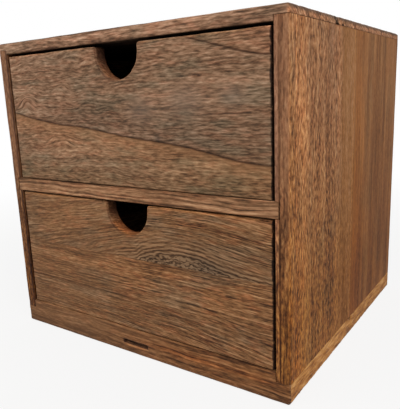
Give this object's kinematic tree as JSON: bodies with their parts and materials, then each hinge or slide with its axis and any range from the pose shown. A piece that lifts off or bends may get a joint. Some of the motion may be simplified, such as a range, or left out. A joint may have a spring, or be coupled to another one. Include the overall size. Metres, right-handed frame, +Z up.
{
  "type": "desktop mini drawers",
  "caption": "Small free-standing wooden cabinet with inset drawers, each opened by a U-shaped finger notch in the top edge of its front board.",
  "frame": {"origin": "middle of the underside of the bottom board", "axes": "+Z up, +X to the right as seen from the front, drawers open towards -Y"},
  "size_m": [0.261, 0.238, 0.245],
  "materials": {
    "case_boards": "torched and brushed",
    "drawer_fronts": "torched and brushed",
    "drawer_boards": "planed and stained",
    "plywood": "thin plywood, stained",
    "brads": "plain steel wire"
  },
  "bodies": {
    "case": {"top_front_stave": "case_boards", "top_rear_stave": "case_boards", "bottom_front_stave": "case_boards", "bottom_rear_stave": "case_boards", "left_side_front_stave": "case_boards", "left_side_rear_stave": "case_boards", "right_side_front_stave": "case_boards", "right_side_rear_stave": "case_boards", "shelf_front_stave": "case_boards", "shelf_rear_stave": "case_boards", "back_panel": "plywood", "top_brads": "brads", "bottom_brads": "brads", "back_brads": "brads"},
    "upper_drawer": {"upper_drawer_front": "drawer_fronts", "upper_drawer_left_side": "drawer_boards", "upper_drawer_right_side": "drawer_boards", "upper_drawer_back": "drawer_boards", "upper_drawer_bottom": "plywood", "upper_drawer_brads": "brads"},
    "lower_drawer": {"lower_drawer_front": "drawer_fronts", "lower_drawer_left_side": "drawer_boards", "lower_drawer_right_side": "drawer_boards", "lower_drawer_back": "drawer_boards", "lower_drawer_bottom": "plywood", "lower_drawer_brads": "brads"}
  },
  "joints": [
    {"name": "upper_drawer_slide", "type": "slide", "parent": "case", "child": "upper_drawer", "axis": [0, -1, 0], "range_m": [0, 0.19]},
    {"name": "lower_drawer_slide", "type": "slide", "parent": "case", "child": "lower_drawer", "axis": [0, -1, 0], "range_m": [0, 0.19]}
  ]
}
